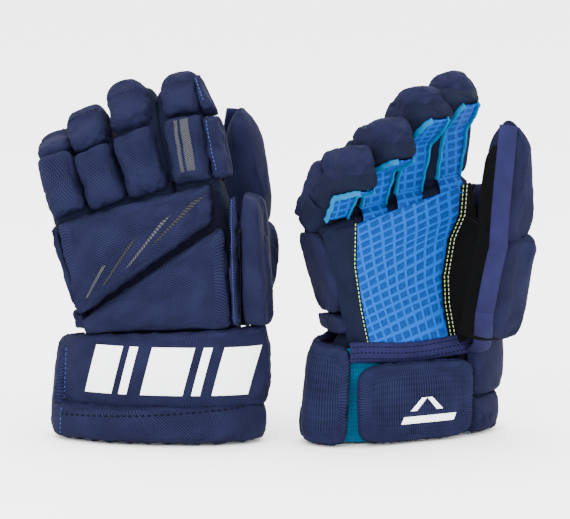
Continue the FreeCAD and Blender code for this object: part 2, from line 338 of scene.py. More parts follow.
def thumb_digit(side):
    corner = Vector(joint(side + "_thumb_base_joint")["pos_m"])
    tip = joint(side + "_thumb_tip_joint")
    bend, axis = Vector(tip["pos_m"]), Vector(tip["axis"])
    across = axis * HANDED[side]
    slope = math.atan2(THUMB_CORNER, THUMB_BASE)
    along = Matrix.Rotation(slope, 3, axis) @ (bend - corner).normalized()
    palm = along.cross(across) * HANDED[side]
    base = Place(bend - along * THUMB_BASE * MM, across, palm, along)
    return Digit(base, -axis, THUMB_BASE, THUMB_CURL)


def hand_xz(across, along):
    """A point on the leaning hand, as x and z of the glove."""
    x = across * math.cos(HAND_LEAN) - along * math.sin(HAND_LEAN)
    z = HAND_HEIGHT + across * math.sin(HAND_LEAN) + along * math.cos(HAND_LEAN)
    return x, z


# ---- materials ----

def nodes_of(name):
    """A new material, its node maker and its main shader."""
    material = bpy.data.materials.new(name)
    material.use_nodes = True
    tree = material.node_tree
    shader = tree.nodes["Principled BSDF"]

    def make(kind, inputs=None, **settings):
        node = tree.nodes.new(kind)
        for key, value in settings.items():
            setattr(node, key, value)
        for socket, value in (inputs or {}).items():
            if isinstance(value, bpy.types.NodeSocket):
                tree.links.new(value, node.inputs[socket])
            else:
                node.inputs[socket].default_value = value
        return node

    def link(output, socket):
        tree.links.new(output, socket)

    return material, make, link, shader


def maths(make, operation, *values):
    inputs = dict(enumerate(values))
    return make("ShaderNodeMath", inputs, operation=operation).outputs[0]


def coloured(make, value, dark, light):
    """A colour that runs from dark to light as a value runs from 0 to 1."""
    ramp = make("ShaderNodeValToRGB", {0: value})
    ramp.color_ramp.elements[0].color = (*dark, 1)
    ramp.color_ramp.elements[1].color = (*light, 1)
    return ramp.outputs[0]


def finish_cloth(make, link, shader, colour, relief, bump, rough, sheen, light):
    """Join a cloth's colour and relief to its shader, and set its gloss."""
    bumped = make("ShaderNodeBump", {"Height": relief, "Strength": bump, "Distance": 0.0003})
    link(colour, shader.inputs["Base Color"])
    link(bumped.outputs[0], shader.inputs["Normal"])
    shader.inputs["Roughness"].default_value = rough
    shader.inputs["Sheen Weight"].default_value = sheen
    shader.inputs["Sheen Roughness"].default_value = 0.4
    shader.inputs["Sheen Tint"].default_value = (*[min(1, c * 3 + 0.05) for c in light], 1)
    shader.inputs["Specular IOR Level"].default_value = 0.05


def weave_uv(make):
    """The weave coordinates of a piece, in millimetres: both together, then each alone."""
    uv = make("ShaderNodeUVMap").outputs[0]
    split = make("ShaderNodeSeparateXYZ", {0: uv})
    return uv, split.outputs[0], split.outputs[1]


def cloth_material(name, dark, light, pitch, ribbed=False, bump=0.45, sheen=0.015, rough=0.85):
    """Woven cloth: crossing threads, uneven dye, worn patches and a soft sheen."""
    material, make, link, shader = nodes_of(name)
    uv, u, v = weave_uv(make)
    first_way = u if ribbed else maths(make, "ADD", u, v)
    second_way = v if ribbed else maths(make, "SUBTRACT", u, v)
    turn = 2 * math.pi / pitch
    first = maths(make, "SINE", maths(make, "MULTIPLY", first_way, turn))
    second_turn = turn * (0.4 if ribbed else 1.25)
    second = maths(make, "SINE", maths(make, "MULTIPLY", second_way, second_turn))
    threads = maths(make, "MULTIPLY_ADD", second, 0.25 if ribbed else 0.8, first)
    patches = make("ShaderNodeTexNoise", {"Vector": uv, "Scale": 0.045, "Detail": 4.0}).outputs[0]
    fuzz = make("ShaderNodeTexNoise", {"Vector": uv, "Scale": 1.7, "Detail": 2.0}).outputs[0]
    uneven = maths(make, "MULTIPLY_ADD", patches, 0.9, -0.1)
    tone = maths(make, "MULTIPLY_ADD", threads, 0.3, uneven)
    speck = maths(make, "MULTIPLY_ADD", fuzz, 0.3, tone)
    colour = coloured(make, speck, dark, light)
    relief = maths(make, "ADD", fuzz, threads)
    finish_cloth(make, link, shader, colour, relief, bump, rough, sheen, light)
    return material


def grip_material(name, line, square, pitch):
    """Printed grip cloth: raised lines crossing between sunken, darker squares."""
    material, make, link, shader = nodes_of(name)
    uv, u, v = weave_uv(make)
    across = maths(make, "MULTIPLY_ADD", v, 0.18, u)
    along = maths(make, "MULTIPLY_ADD", u, -0.14, v)
    from_across = maths(make, "PINGPONG", across, pitch / 2)
    from_along = maths(make, "PINGPONG", along, pitch * 0.38)
    nearest = maths(make, "MINIMUM", from_across, from_along)
    sunken = make("ShaderNodeMapRange", {0: nearest, 1: 0.9, 2: 1.7}).outputs[0]
    fuzz = make("ShaderNodeTexNoise", {"Vector": uv, "Scale": 0.5, "Detail": 4.0}).outputs[0]
    worn = maths(make, "MULTIPLY_ADD", fuzz, 0.9, -0.35)
    tone = maths(make, "MULTIPLY_ADD", sunken, 0.75, worn)
    colour = coloured(make, tone, line, square)
    relief = maths(make, "MULTIPLY_ADD", sunken, -3.0, fuzz)
    finish_cloth(make, link, shader, colour, relief, 0.8, 0.6, 0.01, line)
    return material


def print_material(name, tone, wear):
    """Thin printed ink, cracked along the weave under it."""
    material, make, link, shader = nodes_of(name)
    uv, u, v = weave_uv(make)
    weave = maths(make, "SINE", maths(make, "MULTIPLY", maths(make, "ADD", u, v), 3.7))
    fuzz = make("ShaderNodeTexNoise", {"Vector": uv, "Scale": 0.9, "Detail": 5.0}).outputs[0]
    cracked = maths(make, "MULTIPLY_ADD", weave, wear, fuzz)
    dim = [c * (1 - 1.6 * wear) for c in tone]
    colour = coloured(make, cracked, dim, tone)
    finish_cloth(make, link, shader, colour, weave, 0.15, 0.55, 0.0, tone)
    return material


MATERIALS = {
    "pad": cloth_material("pad_weave", (0.0008, 0.001, 0.0045), (0.01, 0.0115, 0.036), 2.1),
    "groove": cloth_material("groove_cloth", (0.001, 0.001, 0.004), (0.003, 0.003, 0.01), 1.3),
    # painted shade: the shell cloth between the back pads and the backing under the cuff lining get far darker colours
    # than the pad cloth, for the shade that falls between the pads
    "sleeve": cloth_material("sleeve_knit", (0.001, 0.002, 0.006), (0.006, 0.008, 0.022), 1.3),
    "tape": cloth_material("binding_tape", (0.003, 0.003, 0.014), (0.016, 0.016, 0.06), 1.2),
    "rib": cloth_material(
        "ribbed_flap", (0.0008, 0.001, 0.005), (0.009, 0.011, 0.035), 2.0, ribbed=True
    ),
    "palm": grip_material("palm_grip", (0.0, 0.052, 0.28), (0.0, 0.018, 0.1), 8.5),
    "edge": cloth_material("cut_edge", (0.0, 0.03, 0.12), (0.0, 0.13, 0.28), 0.9, bump=0.2),
    "suede": cloth_material("suede", (0.0006, 0.0006, 0.0006), (0.002, 0.002, 0.002), 0.9),
    "lining": cloth_material("lining", (0.0, 0.025, 0.08), (0.002, 0.12, 0.21), 1.2, ribbed=True),
    "white_print": print_material("white_print", (0.8, 0.82, 0.85), 0.04),
    "grey_print": print_material("grey_print", (0.04, 0.042, 0.052), 0.5),
    "faint_print": print_material("faint_print", (0.018, 0.019, 0.024), 0.5),
    "blue_thread": cloth_material("blue_thread", (0.015, 0.025, 0.1), (0.04, 0.07, 0.22), 0.4),
    "green_thread": cloth_material("green_thread", (0.2, 0.3, 0.08), (0.45, 0.6, 0.2), 0.4),
    "white_thread": cloth_material("white_thread", (0.25, 0.3, 0.22), (0.55, 0.62, 0.45), 0.4),
    "dark_thread": cloth_material("dark_thread", (0.001, 0.001, 0.003), (0.003, 0.003, 0.008), 0.4),
}


# ---- soft blocks, cloths and stitches ----

def in_scene(name, data):
    """A new object in the scene, made of some data."""
    item = bpy.data.objects.new(name, data)
    bpy.context.scene.collection.objects.link(item)
    return item


def as_object(name, mesh):
    """A smooth-shaded object from a bmesh, which is freed."""
    bmesh.ops.recalc_face_normals(mesh, faces=mesh.faces[:])
    data = bpy.data.meshes.new(name)
    mesh.to_mesh(data)
    mesh.free()
    data.polygons.foreach_set("use_smooth", [True] * len(data.polygons))
    return in_scene(name, data)


def settle(item):
    """Apply every modifier of a piece."""
    graph = bpy.context.evaluated_depsgraph_get()
    data = bpy.data.meshes.new_from_object(item.evaluated_get(graph))
    item.modifiers.clear()
    item.data = data


def rumple(item, depth, span):
    """Push the surface gently in and out, as hand-sewn padding lies. In millimetres."""
    mesh = item.data
    for vertex in mesh.vertices:
        push = noise(vertex.co / (span * MM)) + 0.4 * noise(vertex.co / (span * MM * 0.37))
        vertex.co += vertex.normal * push * depth * MM


def rounding(a, b, c, corner, edge):
    """How far to pull a cube's point in, to round its outline's corners and its edges."""
    flat = abs(a) ** corner + abs(b) ** corner
    return (flat ** (edge / corner) + abs(c) ** edge) ** (-1 / edge)


def pillow(name, shape, sizes, corner=7, edge=3.6, cuts=17):
    """A closed soft block. shape maps (a, b, c), each from -1 to 1, to a point: a across,
    b along and c from the outside (-1) to the inside (1). sizes are its measures in mm."""
    grid = bmesh.new()
    bmesh.ops.create_cube(grid, size=2)
    bmesh.ops.subdivide_edges(grid, edges=grid.edges[:], cuts=cuts, use_grid_fill=True)
    layer = grid.loops.layers.uv.new("weave")
    halves = [s / 2 for s in sizes]
    for face in grid.faces:
        normal = [abs(v) for v in face.normal]
        drop = normal.index(max(normal))
        kept = [i for i in range(3) if i != drop]
        for loop in face.loops:
            loop[layer].uv = [loop.vert.co[i] * halves[i] for i in kept]
    inner = []
    for i, vert in enumerate(grid.verts):
        a, b, c = vert.co
        if c > 0.2:
            inner.append(i)
        pull = rounding(a, b, c, corner, edge)
        vert.co = shape(a * pull, b * pull, c * pull)
    item = as_object(name, grid)
    item.vertex_groups.new(name="held").add(inner, 1, "ADD")
    rumple(item, 0.35, 11)
    return item


def stuff(items, swell=1.3, frames=12):
    """Fill pads with stuffing: their cloth, cut a little too large, swells and puckers while
    the side towards the hand is held. No point moves further than swell millimetres."""
    starts = {item: [v.co.copy() for v in item.data.vertices] for item in items}
    for item in items:
        cloth = item.modifiers.new("stuffing", "CLOTH")
        cloth.settings.quality = 4
        cloth.settings.shrink_min = -0.06
        cloth.settings.vertex_group_mass = "held"
        cloth.settings.use_pressure = True
        cloth.settings.uniform_pressure_force = 4
        cloth.settings.effector_weights.gravity = 0
        cloth.point_cache.frame_end = frames
    for frame_number in range(1, frames + 1):
        bpy.context.scene.frame_set(frame_number)
    graph = bpy.context.evaluated_depsgraph_get()
    for item in items:
        settled = item.evaluated_get(graph).data.vertices
        moves = [v.co - start for v, start in zip(settled, starts[item])]
        item.modifiers.clear()
        for vertex, start, move in zip(item.data.vertices, starts[item], moves):
            vertex.co = start + move / max(1.0, move.length / (swell * MM))


def fabric(name, point, size, steps, closed=False, thick=1.0):
    """A piece of cloth. point(u, v), each from 0 to 1, gives a place on it."""
    width, length = size
    columns, rows = steps
    count = columns if closed else columns + 1
    mesh = bmesh.new()
    layer = mesh.loops.layers.uv.new("weave")
    grid = [
        [mesh.verts.new(point(i / columns, j / rows)) for i in range(count)]
        for j in range(rows + 1)
    ]
    for j in range(rows):
        for i in range(columns):
            right = (i + 1) % count
            corners = [grid[j][i], grid[j][right], grid[j + 1][right], grid[j + 1][i]]
            steps_uv = [(i, j), (i + 1, j), (i + 1, j + 1), (i, j + 1)]
            for loop, (a, b) in zip(mesh.faces.new(corners).loops, steps_uv):
                loop[layer].uv = (a / columns * width, b / rows * length)
    item = as_object(name, mesh)
    if thick:
        solid = item.modifiers.new("thickness", "SOLIDIFY")
        solid.thickness = thick * MM
        solid.offset = 0
        settle(item)
    return item


# The slot of each cloth that isn't a pad's shell
SLOTS = {
    "sleeve": "sleeve_fabric",
    "tape": "binding_tape",
    "palm": "palm_grip",
    "edge": "palm_grip",
    "suede": "suede",
    "lining": "lining",
}


def dress(item, material, body=None, stands_for=()):
    """Give a piece its material, its body and the CAD nodes that it stands for."""
    item.data.materials.append(MATERIALS[material])
    if body:
        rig.ride(item, body)
    if stands_for:
        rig.replaces(item, *stands_for)
    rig.slot(item, SLOTS.get(material, "pad_shell"))


def padding(name, shape, sizes, body, nodes, fill, material="pad", **cut):
    """A padded block on a body, which stands for some CAD nodes."""
    item = pillow(name, shape, sizes, **cut)
    dress(item, material, body, nodes)
    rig.padded(item, fill)
    return item


def surface_of(items):
    """What a ray from outside meets first on some pieces."""
    verts, faces = [], []
    for item in items:
        start = len(verts)
        verts.extend(item.matrix_world @ v.co for v in item.data.vertices)
        faces.extend([start + i for i in p.vertices] for p in item.data.polygons)
    return BVHTree.FromPolygons(verts, faces)


def dropped(tree, point, way, lift=0.0):
    """A point moved along a direction onto a surface, or left alone if it misses. The ray
    starts a little further out than the point."""
    start_back, reach = 40, 140
    way = Vector(way).normalized()
    hit = tree.ray_cast(point - way * start_back * MM, way, reach * MM)[0]
    return (hit if hit else point) - way * lift * MM


def resampled(points, pitch):
    """Even steps along a line of points: each with its place and direction."""
    places = []
    left = pitch / 2
    for start, end in zip(points, points[1:]):
        span = end - start
        length = span.length / MM
        while left < length:
            places.append((start + span * (left / length), span.normalized()))
            left += pitch
        left -= length
    return places


def stitches(name, points, way, material, pitch=3.0, length=2.0, radius=0.35):
    """A row of stitches along a line of points that already lie on a surface."""
    mesh = bmesh.new()
    layer = mesh.loops.layers.uv.new("weave")
    way = Vector(way).normalized()
    for place, along in resampled(points, pitch):
        side = along.cross(way).normalized()
        rings = []
        for share, scale in ((-0.5, 0.35), (-0.3, 1), (0.3, 1), (0.5, 0.35)):
            centre = place + along * share * length * MM
            turns = [i * math.pi / 3 for i in range(6)]
            around = [side * math.cos(t) + way * math.sin(t) for t in turns]
            rings.append([mesh.verts.new(centre + a * radius * scale * MM) for a in around])
        for low, high in zip(rings, rings[1:]):
            for i in range(6):
                mesh.faces.new([low[i - 1], low[i], high[i], high[i - 1]])
        mesh.faces.new(rings[0][::-1])
        mesh.faces.new(rings[-1])
    for face in mesh.faces:
        for loop in face.loops:
            loop[layer].uv = (loop.vert.co.x / MM, loop.vert.co.z / MM)
    item = as_object(name, mesh)
    item.data.materials.append(MATERIALS[material])
    return item


# ---- shapes in a glove's axes ----

def quad_shape(place, corners, back, front, crown=0):
    """Maps a pillow onto four (x, z) corners: bottom left, bottom right, top right, top left."""

    def shape(a, b, c):
        u, v = (a + 1) / 2, (b + 1) / 2
        low, high = mixed(corners[0], corners[1], u), mixed(corners[3], corners[2], u)
        x, z = mixed(low, high, v)
        swell = crown * (1 - a * a) * (1 - b * b) * (1 - c) / 2
        return place.point(x, between(back, front, (c + 1) / 2) - swell, z)

    return shape


def roll_shape(place, width, ends, depths, slopes=(0, 0), dome=0.0, crown=1.5, taper=0.0):
    """Maps a pillow onto a digit's pad: x across, z along, domed at its far end.

    slopes say how fast each end moves along with depth, and taper how far the side
    towards the palm draws back by the tip."""
    bottom, top = ends
    back, front = depths

    def shape(a, b, c):
        over = max(0.0, (b - (1 - 2 * dome)) / (2 * dome)) if dome else 0.0
        narrow = math.sqrt(max(0.0, 1 - 0.85 * over * over))
        v = (b + 1) / 2
        x = a * width / 2 * narrow
        swell = crown * (1 - a * a) * (1 - b * b)
        depth = between(back - swell, front - taper * v, (c + 1) / 2)
        if over:
            middle = between(back, front - taper, 0.62)
            depth = middle + (depth - middle) * math.sqrt(max(0.0, 1 - 0.75 * over * over))
        low = bottom + slopes[0] * depth
        high = top + slopes[1] * depth
        return place.point(x, depth, between(low, high, v))

    return shape


def oval_point(place, centre, radii, angle, z):
    """A point on an oval round the wrist. The angle is in degrees."""
    turn = math.radians(angle)
    x = centre[0] + radii[0] * math.cos(turn)
    y = centre[1] + radii[1] * math.sin(turn)
    return place.point(x, y, z)


def oval_shape(place, centre, radii, pad, angles, bottom, top, crown=2.0, flare=0.0):
    """Maps a pillow round an oval, between two angles. bottom and top are each a pair of
    heights, at the first angle and at the last. The oval widens by flare at its bottom."""

    def shape(a, b, c):
        u, v = (a + 1) / 2, (b + 1) / 2
        swell = crown * (1 - b * b) * (1 - c) / 2
        inward = between(0, pad, (c + 1) / 2) - swell - flare * (1 - v)
        reach = [radius - inward for radius in radii]
        height = between(between(*bottom, u), between(*top, u), v)
        return oval_point(place, centre, reach, between(*angles, u), height)

    return shape


def tube_point(half, back, front, turn, power=4):
    """x and y round a rounded oblong, at a share of a whole turn."""
    angle = 2 * math.pi * turn
    x, y = math.cos(angle), math.sin(angle)
    pull = (abs(x) ** power + abs(y) ** power) ** (-1 / power)
    middle, deep = (back + front) / 2, (front - back) / 2
    return x * pull * half, middle + y * pull * deep


def closed_end(distance, end, reach):
    """The share of its width that a sleeve keeps as it rounds over its end."""
    closing = max(0.0, (distance - end + reach) / reach)
    return math.sqrt(max(0.0, 1 - closing * closing * 0.9995))


def strip_sheet(name, place, left, right, depth, size, steps=(20, 40), thick=1.2):
    """A sheet between two lines of (x, z) points. depth(u, v) is its y."""

    def point(u, v):
        x, z = mixed(along_line(left, v), along_line(right, v), u)
        return place.point(x, depth(u, v), z)

    return fabric(name, point, size, steps, thick=thick)


# ---- fingers ----

def finger_pads(side, name, digit):
    """The padded rolls on the back of a finger, with the fingertip's hood."""
    size = FINGERS[name]
    width = size["width"]
    depths = (FINGER_BACK, FINGER_FRONT)
    part = f"{side}_{name}_"
    knuckle_curl, middle_curl = size[side]
    down = math.tan(math.radians(knuckle_curl - 3))
    fold = math.tan(math.radians(middle_curl / 2 - 2))
    base = padding(
        part + "base_pad",
        roll_shape(digit.base, width, (0, digit.length), depths, (down, -fold)),
        (width, digit.length, 26), part + "base", [part + "base_roll"], 0.85,
    )
    hood = padding(
        part + "tip_pad",
        roll_shape(digit.tip, width, (0.6, size["tip"]), depths, (fold, 0), dome=0.42),
        (width, size["tip"], 26), part + "tip", [part + "tip_roll"], 0.85, corner=5,
    )
    return base, hood


def finger_sleeve(side, name, digit):
    """The knitted sleeve inside a finger's pads, closed over the fingertip."""
    part = f"{side}_{name}_"
    half = FINGERS[name]["width"] / 2 - 0.8
    end = digit.length + FINGERS[name]["tip"] - 1.5
    start = 0.5
    left, right = FINGERS[name]["drawn"]

    def point(u, v):
        distance = between(start, end, v)
        shrink = closed_end(distance, end, 12)
        x, y = tube_point(half * shrink, FINGER_SLEEVE * shrink, -1.2, u, 3.2)
        x += (left if x < 0 else right) * abs(x) / half
        return digit.across(distance).point(x, y, 0)

    item = fabric(part + "sleeve", point, (90, end), (36, 40), closed=True)
    rumple(item, 0.3, 7)
    dress(item, "sleeve", stands_for=[part + "stall"])
    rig.blend(item, part + "base", part + "tip", *digit.round_bend(-10))


def knuckle_fold(side, name, digit):
    """The fold of knitted sleeve between the hand and a finger."""
    part = f"{side}_{name}_"
    half = FINGERS[name]["width"] / 2 + 1.8

    def point(u, v):
        x, y = tube_point(half, -23, -1.8, u, 3.2)
        return digit.base.point(x, y, between(-13, 9, v))

    item = fabric(part + "knuckle_fold", point, (90, 22), (36, 10), closed=True, thick=0.8)
    rumple(item, 0.4, 6)
    dress(item, "sleeve")
    before, after = digit.base.point(0, -8, -10), digit.base.point(0, -8, 6)
    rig.blend(item, side + "_hand", part + "base", before, after)


def strip_width(width, v):
    """The width of a finger's palm cloth, which narrows towards the fingertip."""
    return width * (1 - 0.35 * v ** 4)


def finger_palm(side, name, digit):
    """The blue palm cloth that runs up a finger, with its cut edges standing out."""
    part = f"{side}_{name}_"
    width = FINGERS[name]["width"] - 7
    length = digit.length + FINGERS[name]["tip"] - 9

    def point(u, v):
        distance = 3 + v * length
        x = (u - 0.5) * strip_width(width, v)
        bulge = 0.84 * (1 - (2 * u - 1) ** 2)
        return digit.across(distance).point(x, 0.2 + bulge, 0)

    strip = fabric(part + "palm_strip", point, (width, length), (10, 40))
    dress(strip, "palm")
    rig.blend(strip, part + "base", part + "tip", *digit.round_bend(0))
    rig.sheet(strip, (width * MM, length * MM), "stretched")
    for hand in (-1, 1):
        finger_edge(part, digit, hand, width, length)


def palm_root(side, name, place, digit):
    """The palm cloth's bridge from the hand up to one finger's strip."""
    half = FINGERS[name]["width"] / 2 - 4

    def point(u, v):
        x = between(-half, half, u)
        across, _, up = place.local(digit.base.point(x, 0, -10))
        low = place.point(across, 17.2, up)
        high = digit.base.point(x, 0.6, 4.5)
        rise = digit.base.axes[2] * 6 * MM
        return bezier(low, low + rise, high - rise * 0.5, high, v)

    item = fabric(f"{side}_{name}_palm_root", point, (2 * half, 18), (10, 12))
    dress(item, "palm")
    before, after = digit.base.point(0, 8, -8), digit.base.point(0, 0, 5)
    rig.blend(item, side + "_hand", f"{side}_{name}_base", before, after)
    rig.sheet(item, (2 * half * MM, 0.018), "stretched")


def finger_edge(part, digit, hand, width, length):
    """One cut edge of the palm cloth: a narrow, wavy lip along the finger."""
    name = part + ("outer_edge" if hand < 0 else "inner_edge")

    def point(u, v):
        distance = 2 + v * (length + 2)
        x = hand * strip_width(width, v) / 2
        wobble = noise(Vector((hand * 3.1, v * 9, 0.5))) * 0.9
        return digit.across(distance).point(x + wobble * 0.6, -1 + u * 4 + wobble, 0)

    item = fabric(name, point, (4, length), (3, 40))
    dress(item, "edge")
    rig.blend(item, part + "base", part + "tip", *digit.round_bend(0))


def index_side_rolls(side, digit):
    """The index finger's extra rolls along the side that faces the thumb."""
    left = FINGERS["index"]["width"] / 2 - 0.8
    bottom = -3
    # each segment's place, its top, and how far its other three corners are from left
    spans = {"base": (digit.base, digit.length + 1, 14, 12, 0), "tip": (digit.tip, 25, 11, 2, -5)}
    rolls = []
    for segment, (place, top, wide, outer, inner) in spans.items():
        part = f"{side}_index_{segment}"
        corners = [(left, bottom), (left + wide, bottom), (left + outer, top), (left + inner, top)]
        shape = quad_shape(place, corners, -31, -8, 1.5)
        sizes = (12, top - bottom, 22)
        rolls.append(padding(part + "_side_roll", shape, sizes, part, [part + "_roll"], 0.8))
    return rolls


def index_side_stitches(side, digit, rolls):
    left = FINGERS["index"]["width"] / 2
    lines = {
        "base": (digit.base, rolls[0], [(left + 4, 1), (left + 3, digit.length - 3)]),
        "tip": (digit.tip, rolls[1], [(left + 3, 1), (left - 1, 20)]),
    }
    for segment, (place, roll, line) in lines.items():
        part = f"{side}_index_{segment}"
        seam(part + "_stitches", [roll], part, place, line, "blue_thread")


# ---- thumb ----

def thumb_pads(side, digit):
    part = side + "_thumb_"
    lower = padding(
        part + "lower_cushion",
        roll_shape(digit.base, 34, (0, THUMB_BASE + 2), (-36, 4), (0, -0.14), crown=2.5),
        (34, THUMB_BASE, 34), part + "lower", [part + "lower_pad"], 0.85, corner=6,
    )
    upper = padding(
        part + "upper_cushion",
        roll_shape(digit.tip, 31, (-7, THUMB_TIP + 8), (-33, 5), dome=0.3, crown=2.5, taper=20),
        (31, THUMB_TIP, 30), part + "upper", [part + "upper_pad", part + "insert"], 0.85,
        corner=5,
    )
    return lower, upper


def thumb_sleeve(side, digit):
    """The suede inside of the thumb, under its pads."""
    part = side + "_thumb_"
    end = THUMB_BASE + THUMB_TIP - 5

    def point(u, v):
        distance = between(1, end, v)
        shrink = closed_end(distance, end, 16)
        back, front = -22, 9 - 20 * v ** 3
        x, y = tube_point(12.5 * shrink, back, front, u, 3)
        return digit.across(distance).point(x, between((back + front) / 2, y, shrink), 0)

    item = fabric(part + "sleeve", point, (100, end), (40, 50), closed=True, thick=1.2)
    rumple(item, 0.3, 9)
    dress(item, "suede", stands_for=[part + "stall"])
    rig.blend(item, part + "lower", part + "upper", *digit.round_bend(-10))


def thumb_webs(side, place, digit):
    """The suede and knitted cloth that join the thumb to the hand."""
    part = side + "_thumb_"

    def web(name, left, right, steps, size, material):
        def point(u, v):
            sag = math.sin(math.pi * u) * 1.5
            return between(left(v), right(v), u) - place.axes[1] * sag * MM

        item = fabric(part + name, point, size, steps, thick=1.2)
        rumple(item, 0.4, 12)
        dress(item, material)
        before, after = place.point(40, 16, 110), place.point(40, 32, 110)
        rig.blend(item, side + "_hand", part + "lower", before, after)

    def palm_seam(v):
        x, z = along_line(PALM_SEAM[:-1], v)
        return place.point(x + 7, 17.4, z)

    def palm_edge(v):
        distance = between(9, THUMB_BASE + 10, v)
        return digit.across(distance).point(13, between(1, 10, min(1, v * 2.5)), 0)

    def back_seam(v):
        return place.point(56, 6, between(82, 146, v))

    def back_edge(v):
        return digit.base.point(-12, -16, between(4, THUMB_BASE - 2, v))

    web("inner_web", palm_seam, palm_edge, (16, 30), (30, 82), "suede")
    web("outer_web", back_seam, back_edge, (12, 30), (20, 68), "sleeve")


def thumb_tape(side, place, digit):
    """The binding tape from the wrist up the thumb's edge and over its tip."""
    part = side + "_thumb_"
    width = 12.5
    join = 24
    end = THUMB_BASE + THUMB_TIP + 9
    right, palm, along = digit.base.axes
    facing = right + palm * 0.5
    level = palm * 0.85 - right * 0.5

    def on_thumb(distance):
        rise = distance / end
        x = 17 - 12 * rise ** 5
        y = 12 - 28 * rise ** 3
        return digit.across(distance).point(x, y, 0)

    def lower(v):
        start, leave = place.point(46, 21.5, 62), place.point(45, 42, 68)
        finish = on_thumb(join)
        return bezier(start, leave, finish - along * 14 * MM, finish, v)

    def upper(v):
        return on_thumb(between(join, end, v))

    def ribbon(name, centre, bodies, before, after):
        def point(u, v):
            ahead = (centre(v + 0.01) - centre(v - 0.01)).normalized()
            across = (level - ahead * level.dot(ahead)).normalized()
            out = ahead.cross(across)
            if out.dot(facing) < 0:
                out = -out
            rise = 1.5 * (1 - (2 * u - 1) ** 2)
            return centre(v) + (across * (u - 0.5) * width + out * rise) * MM

        middle = [centre(i / 30) for i in range(31)]
        length = sum((b - a).length for a, b in zip(middle, middle[1:]))
        item = fabric(part + name, point, (width, length / MM), (8, 40), thick=2.0)
        dress(item, "tape")
        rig.blend(item, *bodies, before, after)
        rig.sheet(item, (width * MM, length), "stretched")

    hand, low, high = side + "_hand", part + "lower", part + "upper"
    base = digit.base
    ribbon("lower_tape", lower, (hand, low), place.point(45, 26, 66), base.point(14, 0, 20))
    ribbon(
        "upper_tape", upper, (low, high), base.point(14, 0, THUMB_BASE - 9),
        digit.tip.point(14, 0, 9),
    )


# ---- hand ----

# The pads on the back and sides of the hand, with (x, z) corners from the bottom left round
BACK_PADS = {
    "upper_back_cushion": dict(
        corners=[(-52, 88), (43, 157.5), (42, 184), (-67, 154)],
        depths=(-31, -16), crown=3, node="backhand_upper_pad", sizes=(110, 60), corner=14,
    ),
    "lower_back_cushion": dict(
        corners=[(-47, 76), (57, 83), (51, 156), (-50, 86)],
        depths=(-31, -16), crown=3, node="backhand_lower_pad", sizes=(104, 60), corner=14,
    ),
    "raised_strip": dict(
        corners=[(57.5, 85), (62.5, 85), (60, 176), (55, 173)],
        depths=(-29.5, -16), crown=0.5, node="side_pads", sizes=(5, 90), corner=8,
    ),
    "index_side_cushion": dict(
        corners=[(63, 83), (84, 83), (78, 172), (62, 178)],
        depths=(-29, 10), crown=1.5, node="side_pads", sizes=(22, 92), corner=6,
    ),
    "little_finger_side_cushion": dict(
        corners=[(-57, 92), (-48, 92), (-66, 150), (-74, 150)],
        depths=(-26, 10), crown=1, node="side_pads", sizes=(12, 57), corner=6,
    ),
    "little_finger_side_block": dict(
        corners=[(-56, 78), (-44, 78), (-48, 91.5), (-58, 91.5)],
        depths=(-24, 10), crown=1, node="side_pads", sizes=(14, 13), corner=6,
    ),
}


def backhand(side, place):
    """The two big pads, the raised strip and the side pads on the back of the hand."""
    made = []
    for name, pad in BACK_PADS.items():
        back, front = pad["depths"]
        shape = quad_shape(place, pad["corners"], back, front, pad["crown"])
        made.append(padding(
            f"{side}_{name}", shape, (*pad["sizes"], front - back), side + "_hand",
            [f"{side}_{pad['node']}"], 0.75, corner=pad["corner"], edge=4, cuts=21,
        ))
    return made


def back_cloth(side, place):
    """The shell cloth that shows in the gaps between the back pads, darker than the pads with painted shade."""
    left = [(-42, 80), (-60, 130), hand_xz(-45, 89)]
    right = [(62, 84), (62, 130), hand_xz(68, 89)]
    item = strip_sheet(
        side + "_back_cloth", place, left, right, lambda u, v: -18.5, (115, 100)
    )
    dress(item, "groove", side + "_hand", [side + "_backhand_insert"])
    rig.sheet(item, (0.115, 0.1), "stretched")


def hand_sleeve(side, place):
    """The knitted sleeve round the hand, open at the wrist."""
    left = [(-43, 78), (-56, 116), hand_xz(-47, WEB + 1)]
    right = [(58, 78), (58, 120), (57, 148), hand_xz(71, WEB + 1)]

    def point(u, v):
        height = min(1.0, v * 1.05)
        closing = max(0.0, v * 1.05 - 0.97) / 0.08
        start, end = along_line(left, height), along_line(right, height)
        middle = [(s + e) / 2 for s, e in zip(start, end)]
        half = (end[0] - start[0]) / 2
        shrink = 1 - closing * 0.9
        x, y = tube_point(half, -15.5, 14.5, u, 5)
        z = between(middle[1], end[1], x / half)
        return place.point(middle[0] + x * (1 - closing * 0.05), y * shrink, z)

    item = fabric(side + "_hand_sleeve", point, (220, 90), (64, 26), closed=True)
    dress(item, "sleeve", side + "_hand", [side + "_hand_liner"])


# The line of (x, z) points where the palm cloth meets the suede
PALM_SEAM = [(28, 66), (22, 96), (21, 115), (26, 142), (34, 158), hand_xz(60, 86)]


def palm_depth(u, v):
    """The palm cloth dips in the middle, where it has taken the hand's shape."""
    dip = math.sin(math.pi * u) * math.sin(math.pi * min(1, v * 1.15))
    fold = 0.5 * math.sin(v * 21 + u * 3) * (1 - u)
    return 17.8 - 1.6 * max(0.0, dip) + 0.3 * fold


